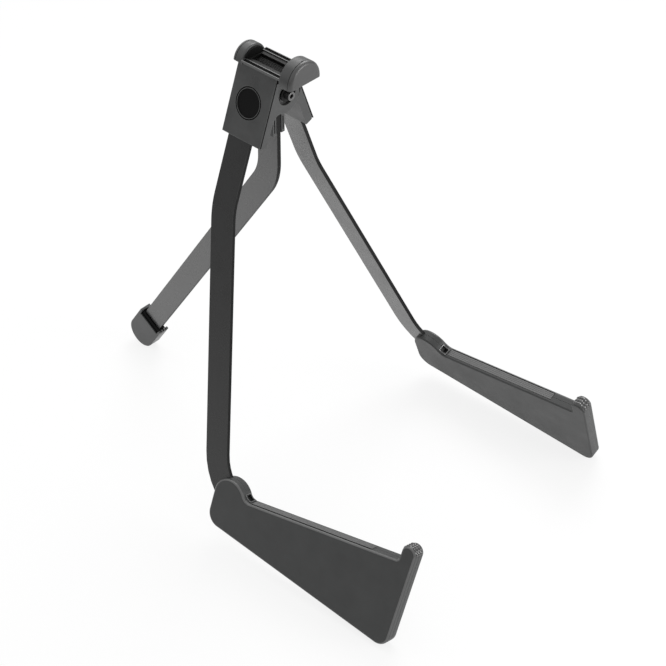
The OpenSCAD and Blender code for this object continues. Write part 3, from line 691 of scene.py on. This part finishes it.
# Plain pieces of the head: node, slot, material and width of the rounded edges
HEAD = [
    ("saddle_screws", "plain_steel", steel, 0.15),
    ("yoke", "black_plastic", housing, 0.4),
    ("hinge_axle", "plain_steel", dark_steel, 0.25),
    ("axle_washers", "plain_steel", dark_steel, 0.12),
    ("axle_cap", "black_plastic", lining, 0.2),
    ("leg_pivot", "plain_steel", steel, 0.2),
    ("pivot_washers", "plain_steel", steel, 0.1),
]
for node, slot_name, material, width in HEAD:
    refine(node, "head", material, width)


# Rear leg

rear_dir = Vector((math.sin(rear_lean), -math.cos(rear_lean)))
rear_mouth = Vector((0, -rear_bend_drop)) + rear_run * rear_dir
BOOT = STANCE @ Matrix.Translation((0, *rear_mouth)) @ Matrix.Rotation(rear_lean, 4, "X")
ear_slit_x = (-2.4, 0, 2.4)
ear_slit_w = 0.8
ear_slit_h = 2.6


def ear_slits():
    """Slits that part the boot's front ear into ribs."""
    shapes = []
    for x in ear_slit_x:
        low = (x - ear_slit_w / 2, -boot_r - past, boot_ear - ear_slit_h)
        high = (x + ear_slit_w / 2, boot_wall - boot_r + past, boot_ear + past)
        shapes.append(box_mesh("ear slit", low, high, BOOT))
    return shapes


# The boot's insert is matt black: painted shade in the mouth of the boot round the leg
refine("boot_insert", "rear_leg", shade_black, width=0.25)
refine("rear_boot", "rear_leg", housing, width=0.4, cuts=ear_slits())
REAR = [
    ("rear_bush", "plain_steel", steel, 0.1),
    ("boot_pin", "plain_steel", steel, 0.1),
]
for node, slot_name, material, width in REAR:
    refine(node, "rear_leg", material, width)
rear_bar = refine("rear_leg_bar", "rear_leg", grey_coat_and_sheen, width=0.45)
# The rear bar's narrow edges are near-black: painted shade
by_side(rear_bar, STANCE, grey_coat_and_sheen, grey_coat_and_sheen, bar_edge_shade)


# Front legs

# Plain pieces of a front leg: node, slot, material and width of the rounded edges
LEG = [
    ("hub", "housing_plastic", housing, 0.4),
    ("bar_screws", "plain_steel", steel, 0.12),
    ("arm_dowels", "plain_steel", steel, 0.2),
]

# Bevel at the seam between the arm's halves, and the rounding of the inner half's face
seam = 0.3
inner_edge_r = 1.2
rounding_steps = 8


def layers_to(side_x, edge_r):
    """Layers of an arm half as [x, inset], from the seam to the rounded edge of its face."""
    sign = math.copysign(1, side_x - arm_split)
    turns = [math.radians(90 * i / rounding_steps) for i in range(rounding_steps + 1)]
    layers = [(arm_split, seam), (arm_split + sign * seam, 0)]
    for a in turns:
        layers.append((side_x - sign * edge_r * (1 - math.sin(a)), edge_r * (1 - math.cos(a))))
    return layers


halves = {"outer": layers_to(arm_out, arm_edge_r), "inner": layers_to(arm_in, inner_edge_r)}
fit = 0.1
channel_gap = 0.2
strip_a0 = foot_c.x + strip_back
strip_a1 = lip_foot - strip_stop
strip_gap = {"outer": 0.8, "inner": 0.2}
strip_ribs = 4
strip_rib_h = 0.12
# Corners of a rib of the strip, as shares of its pitch
strip_rib = (0.2, 0.8, 0.95)
# Depth of the seat groove under the strip, and how far the shape that cuts it rises above the seat
groove_floor = 0.2
groove_top = 2


def seat_bar(name, section, a0, a1, matrix):
    """A bar along the seat from a0 to a1, whose section is drawn as [x from the arm's middle, height]."""
    rings = []
    for a in (a0, a1):
        foot = Vector((0, seat_at(0))) + (a / math.cos(seat_rise)) * seat_dir
        ring = []
        for x, z in section:
            p = arm_at + foot + z * left_of(seat_dir)
            ring.append((arm_split + x, -p.x, p.y))
        rings.append(ring)
    return loft(name, rings, matrix)


def strip_section():
    """Section of the seat strip, with fine ribs on its top."""
    half = strip_w / 2
    pitch = strip_w / strip_ribs
    top = strip_proud - strip_rib_h
    line = [(-half, strip_proud - strip_t), (half, strip_proud - strip_t)]
    for i in range(strip_ribs):
        x = half - i * pitch
        rise, fall, end = (x - share * pitch for share in strip_rib)
        line += [(x, top), (rise, strip_proud), (fall, strip_proud), (end, top)]
    line.append((-half, top))
    return line


def groove_section():
    """Section of the groove that the strip lies in."""
    low = -strip_t - groove_floor
    near = -strip_w / 2 - strip_gap["inner"]
    far = strip_w / 2 + strip_gap["outer"]
    return [(near, low), (far, low), (far, groove_top), (near, groove_top)]


def band(centre, r0, r1, start, end):
    """Outline of a band between two arcs."""
    return arc(centre, r0, start, end) + arc(centre, r1, end, start)


# Small framed pocket at the foot of the hump, with its turns in degrees round the centre of that arc
pocket_turn = (-80, -150)
pocket_x = (arm_split - 3.7, arm_split + 2.2)
pocket_rim = 0.8
pocket_depth = 2
pocket_proud = 0.6
pocket_sink = 1
pocket_past = 3


def pocket(matrix, depth):
    """The hollow of the pocket, to a depth below the arm's surface."""
    start, end = pocket_turn
    trim = math.degrees(pocket_rim / hump_root_r)
    outline = band(foot_c, hump_root_r - pocket_past, hump_root_r + depth, start - trim, end + trim)
    return slab("pocket", outline, pocket_x[0] + pocket_rim, pocket_x[1] - pocket_rim, matrix, arm_at)


def pocket_frame(name, body, matrix):
    """A frame round the mouth of the pocket."""
    outline = band(foot_c, hump_root_r - pocket_proud, hump_root_r + pocket_sink, *pocket_turn)
    obj = new_object(name + "_pocket_frame", slab("frame", outline, *pocket_x, matrix, arm_at))
    cut(obj, pocket(matrix, pocket_past))
    smooth(obj)
    round_edges(obj, width=0.2)
    finish_piece(obj, body, gloss_grey)


# Ridged pad over the top of the lip, with its turns in degrees round the centre of the lip
lip_turn = (12, 168)
lip_rows = 6
lip_columns = 3
lip_x = (arm_in + 1.5, arm_out - 1.5)
lip_sink = 0.9
lip_ridge = 0.55
lip_steps = 8
lip_smooth = 50


def lip_pad(name, body, matrix):
    """A pad over the lip whose ridges swell in rows and columns."""
    start, end = lip_turn
    steps = lip_steps * lip_rows
    across = lip_steps * lip_columns
    rings = []
    for k in range(across + 1):
        x = lip_x[0] + (lip_x[1] - lip_x[0]) * k / across
        column = abs(math.sin(math.pi * lip_columns * k / across))
        ring = []
        for i in range(steps + 1):
            turn = math.radians(start + (end - start) * i / steps)
            row = abs(math.sin(math.pi * lip_rows * i / steps))
            r = lip_r + lip_ridge * row * column
            ring.append(lip_c + Vector((r * math.cos(turn), r * math.sin(turn))))
        ring += arc(lip_c, lip_r - lip_sink, end, start)
        rings.append(leg_points(ring, x, arm_at))
    obj = new_object(name + "_lip_pad", loft("lip pad", rings, matrix))
    smooth(obj, lip_smooth)
    finish_piece(obj, body, gloss_rubber)


def arm_half(name, layers, matrix):
    """Half of an arm, with its share of the bar's channel, the seat groove and the pocket."""
    rings = [leg_points(inset(arm_outline, d), x, arm_at) for x, d in layers]
    obj = new_object(name, loft(name, rings, matrix))
    channel = strip_outline(bar_path, bar_w + 2 * channel_gap)
    cut(obj, slab("channel", channel, bar_in - fit, bar_out + fit, matrix))
    cut(obj, seat_bar("seat groove", groove_section(), strip_a0, strip_a1, matrix))
    cut(obj, pocket(matrix, pocket_depth))
    smooth(obj)
    even_shading(obj)
    return obj


# Strip in the shadow groove behind a cover's front rim, and for each side its depth in that groove and
# its material. On the left the strip is black, painted shade that darkens the groove; on the right it is
# in the housing's tone and fills the groove so that it shows less shade.
groove_strip_gap = 0.02
groove_strip_x = (cover_out - cover_t + groove_strip_gap, cover_out - cover_t / 2 - groove_strip_gap)
groove_strip_z = (-36.2, 7)
groove_strip_w = 0.8
groove_strips = {"left": (0.2, shade_black), "right": (0.4, housing)}


def groove_strip(name, body, matrix, depth, material):
    """A strip at the bottom of the groove between housing and cover at the front."""
    inverse = matrix.inverted()
    front = min((inverse @ v.co).y for v in frame["nodes"][name + "_cover"].data.vertices)
    y = front + depth
    low = (groove_strip_x[0], y, groove_strip_z[0])
    high = (groove_strip_x[1], y + groove_strip_w, groove_strip_z[1])
    obj = new_object(name + "_cover_groove_strip", box_mesh("groove_strip", low, high, matrix))
    round_edges(obj, width=0.1)
    finish_piece(obj, body, material)


# Groove in the cover round its badge, and the black ring that lies at its bottom, which is painted shade
ring_groove = (9.95, 10.75)
ring_groove_d = 0.6
ring_gap = 0.05
ring_t = 0.25


def badge_groove(matrix):
    """A fine groove in the cover round its badge."""
    r0, r1 = ring_groove
    x0 = cover_out - ring_groove_d
    x1 = cover_out + past
    profile = [(r0, x0), (r1, x0), (r1, x1), (r0, x1), (r0, x0)]
    at = matrix @ Matrix.Translation((0, badge_set, -badge_drop))
    return ring_mesh("groove", profile, at)


def badge_shade_ring(name, body, matrix):
    """A black ring at the bottom of the groove round the badge, painted shade that darkens the groove."""
    r0 = ring_groove[0] + ring_gap
    r1 = ring_groove[1] - ring_gap
    x0 = cover_out - ring_groove_d
    x1 = x0 + ring_t
    profile = [(r0, x0), (r1, x0), (r1, x1), (r0, x1), (r0, x0)]
    at = matrix @ Matrix.Translation((0, badge_set, -badge_drop))
    obj = new_object(name + "_badge_shade_ring", ring_mesh("badge shade ring", profile, at))
    smooth(obj)
    finish_piece(obj, body, shade_black)


def badge(name, body, matrix):
    """A bare disc with a raised rim, let into the cover."""
    at = matrix @ Matrix.Translation((cover_out - badge_sink, badge_set, -badge_drop))
    middle = 0.01
    face = 0.62
    rim = 0.9
    rim_w = 0.5
    slope = 0.2
    profile = [
        (middle, 0),
        (badge_r, 0),
        (badge_r, rim - slope),
        (badge_r - slope, rim),
        (badge_r - rim_w, rim),
        (badge_r - rim_w - slope, face),
        (middle, face),
    ]
    obj = new_object(name + "_badge_disc", lathe("badge", profile, at))
    smooth(obj)
    finish_piece(obj, body, badge_black, [name + "_badge"])


def front_leg(name, side):
    """All pieces of one front leg."""
    matrix = leg_frame(side)
    body = name + "_leg"
    for node, slot_name, material, width in LEG:
        refine(name + "_" + node, body, material, width)
    bar = refine(name + "_leg_bar", body, powder, width=0.45)
    # The front bar is black on its outer face; its paler inner face is a painted reflection and its
    # narrow edges are painted shade
    by_side(bar, matrix, powder, grey_coat_and_sheen, bar_edge_shade)
    groove = badge_groove(matrix)
    cover = refine(name + "_cover", body, plate, width=0.25, cuts=[groove])
    # The cover's edge faces are black: painted shade of the gap round the cover
    by_side(cover, matrix, plate, plate, shade_black)
    for half, layers in halves.items():
        obj = arm_half(name + "_arm_" + half + "_skin", layers, matrix)
        finish_piece(obj, body, arm_plastic, [name + "_arm_" + half])
        # The outer half's rounded rim gets the painted highlight
        if half == "outer":
            paint_rim_highlight(obj, matrix, arm_rim_highlight)
    strip = seat_bar("strip", strip_section(), strip_a0 + fit, strip_a1 - fit, matrix)
    obj = new_object(name + "_strip_skin", strip)
    finish_piece(obj, body, strip_rubber, [name + "_seat_strip"])
    groove_strip(name, body, matrix, *groove_strips[name])
    badge_shade_ring(name, body, matrix)
    pocket_frame(name, body, matrix)
    lip_pad(name, body, matrix)
    badge(name, body, matrix)


for name, side in SIDES.items():
    front_leg(name, side)


# Floor, light and camera

def in_view(nodes, links):
    """1 for rays from the camera and for reflected and refracted ones, 0 for rays that carry light."""
    path = nodes.new("ShaderNodeLightPath")
    out = path.outputs["Is Camera Ray"]
    for kind in ("Is Glossy Ray", "Is Transmission Ray"):
        either = nodes.new("ShaderNodeMath")
        either.operation = "MAXIMUM"
        links.new(out, either.inputs[0])
        links.new(path.outputs[kind], either.inputs[1])
        out = either.outputs["Value"]
    return out


def fade(nodes, links, value, start, end, first, last):
    """A smooth change from first to last while a value goes from start to end."""
    ramp = nodes.new("ShaderNodeMapRange")
    ramp.interpolation_type = "SMOOTHSTEP"
    ramp.inputs["From Min"].default_value = start
    ramp.inputs["From Max"].default_value = end
    ramp.inputs["To Min"].default_value = first
    ramp.inputs["To Max"].default_value = last
    links.new(value, ramp.inputs["Value"])
    return ramp.outputs["Result"]


# Tone of the horizon, where 1 is white, and the distances in metres between which the floor takes it
horizon = 0.55
near_floor = 0.8
far_floor = 2.2
# Distances in metres between which the floor stops showing light and shadow
near_shadow = 0.45
far_shadow = 1.05
# Half the floor's width and its depth under the feet, in metres
floor_half = 12.0
floor_drop = 0.0001
floor_grey = 0.95
floor_rough = 0.9
floor_specular = 0.1
# Share of plain white in the near floor, which leaves the rest to its shadow
floor_white = 0.83
# Level of the light from all round, and the height at which the seen sky is white
light_level = 0.6
sky_top = 0.5


def floor():
    """A pale floor with a light shadow, near white in view and turning into the pale grey of the
    horizon farther off."""
    corners = ((-1, -1), (1, -1), (1, 1), (-1, 1))
    verts = [(x * floor_half, y * floor_half, -floor_drop) for x, y in corners]
    mesh = bpy.data.meshes.new("floor")
    mesh.from_pydata(verts, [], [(0, 1, 2, 3)])
    obj = new_object("floor", mesh)
    material = bpy.data.materials.new("pale floor")
    material.use_nodes = True
    nodes = material.node_tree.nodes
    links = material.node_tree.links
    shader = nodes["Principled BSDF"]
    shader.inputs["Base Color"].default_value = (*grey(floor_grey), 1)
    shader.inputs["Roughness"].default_value = floor_rough
    shader.inputs["Specular IOR Level"].default_value = floor_specular
    place = nodes.new("ShaderNodeTexCoord")
    away = nodes.new("ShaderNodeVectorMath")
    away.operation = "LENGTH"
    links.new(place.outputs["Object"], away.inputs[0])
    tone = fade(nodes, links, away.outputs["Value"], near_floor, far_floor, 1.0, horizon)
    white = nodes.new("ShaderNodeEmission")
    white.inputs["Color"].default_value = (1, 1, 1, 1)
    links.new(tone, white.inputs["Strength"])
    part = fade(nodes, links, away.outputs["Value"], near_shadow, far_shadow, floor_white, 1.0)
    share = nodes.new("ShaderNodeMath")
    share.operation = "MULTIPLY"
    links.new(in_view(nodes, links), share.inputs[0])
    links.new(part, share.inputs[1])
    mix = nodes.new("ShaderNodeMixShader")
    links.new(share.outputs["Value"], mix.inputs["Fac"])
    links.new(shader.outputs["BSDF"], mix.inputs[1])
    links.new(white.outputs["Emission"], mix.inputs[2])
    links.new(mix.outputs["Shader"], nodes["Material Output"].inputs["Surface"])
    mesh.materials.append(material)


def world():
    """Soft light from all round, seen as a plain pale sky that is a little darker at the horizon."""
    made = bpy.data.worlds.new("studio")
    bpy.context.scene.world = made
    made.use_nodes = True
    nodes = made.node_tree.nodes
    links = made.node_tree.links
    place = nodes.new("ShaderNodeTexCoord")
    split = nodes.new("ShaderNodeSeparateXYZ")
    links.new(place.outputs["Generated"], split.inputs["Vector"])
    sky = fade(nodes, links, split.outputs["Z"], 0.0, sky_top, horizon, 1.0)
    level = nodes.new("ShaderNodeMix")
    level.inputs["A"].default_value = light_level
    links.new(in_view(nodes, links), level.inputs["Factor"])
    links.new(sky, level.inputs["B"])
    links.new(level.outputs["Result"], nodes["Background"].inputs["Strength"])
    nodes["Background"].inputs["Color"].default_value = (1, 1, 1, 1)


def sun(name, direction, strength, spread):
    """Soft light from a direction."""
    light = bpy.data.lights.new(name, "SUN")
    light.energy = strength
    light.angle = math.radians(spread)
    obj = bpy.data.objects.new(name, light)
    bpy.context.scene.collection.objects.link(obj)
    obj.rotation_euler = (-Vector(direction)).to_track_quat("-Z", "Y").to_euler()


def softbox(name, at, target, size, power):
    """A round soft lamp that points at a target."""
    light = bpy.data.lights.new(name, "AREA")
    light.shape = "DISK"
    light.size = size
    light.energy = power
    obj = bpy.data.objects.new(name, light)
    bpy.context.scene.collection.objects.link(obj)
    obj.location = at
    obj.rotation_euler = (Vector(target) - Vector(at)).to_track_quat("-Z", "Y").to_euler()


def camera():
    """The photograph's view: its direction, roll, distance and target in the axle's frame."""
    azimuth = math.radians(-48.231)
    elevation = math.radians(40.737)
    roll = math.radians(0.889)
    distance = 975.69
    target = Vector((-26.914, -82.685, -142.749))
    lens = 79.91
    back = Vector((
        math.sin(azimuth) * math.cos(elevation),
        -math.cos(azimuth) * math.cos(elevation),
        math.sin(elevation),
    ))
    level = (-back).cross(Vector((0, 0, 1))).normalized()
    upright = level.cross(-back)
    right = level * math.cos(roll) + upright * math.sin(roll)
    up = upright * math.cos(roll) - level * math.sin(roll)
    data = bpy.data.cameras.new("camera")
    data.lens = lens
    data.sensor_width = 36
    obj = bpy.data.objects.new("camera", data)
    bpy.context.scene.collection.objects.link(obj)
    turn = Matrix((right, up, back)).transposed()
    turned = Matrix.Rotation(lean, 3, "X") @ turn
    obj.matrix_world = Matrix.Translation(STANCE @ (target + back * distance)) @ turned.to_4x4()
    bpy.context.scene.camera = obj


floor()
world()
sun("sky light", direction=(0.35, 0.45, 0.82), strength=0.8, spread=60)
softbox("key", at=(0.9, 0.3, 1.3), target=(0, 0, 0.15), size=0.9, power=8)
softbox("fill", at=(0.5, -1.1, 0.3), target=(0, 0, 0.1), size=0.7, power=6)
camera()
bpy.context.scene.view_settings.view_transform = "Standard"
